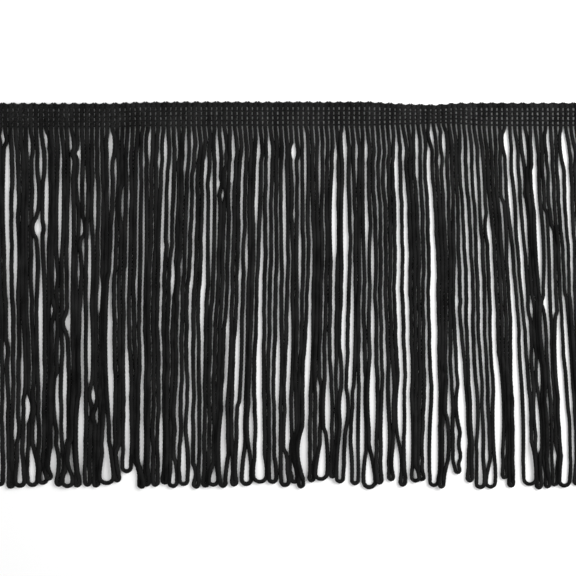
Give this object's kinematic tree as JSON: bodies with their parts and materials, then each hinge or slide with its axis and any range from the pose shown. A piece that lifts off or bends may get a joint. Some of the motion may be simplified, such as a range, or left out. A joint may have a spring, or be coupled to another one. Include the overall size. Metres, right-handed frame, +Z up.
{
  "type": "looped fringe trim",
  "caption": "Cut length of looped yarn fringe trim: a narrow knitted heading with a scalloped edge and a long skirt of strands joined in pairs by loops, lying flat.",
  "frame": {"origin": "middle of the heading's flat underside, on the surface that the trim lies on", "axes": "+X along the heading, +Y from the loops towards the heading's scalloped edge, +Z up from the surface"},
  "size_m": [0.2371, 0.1525, 0.0019],
  "materials": {
    "heading_yarn": "near-black yarn in dense crochet knit, matt with a faint sheen",
    "fringe_yarn": "near-black chainette yarn, soft and matt"
  },
  "bodies": {
    "root": {"heading": "heading_yarn", "fringe": "fringe_yarn"}
  },
  "joints": []
}
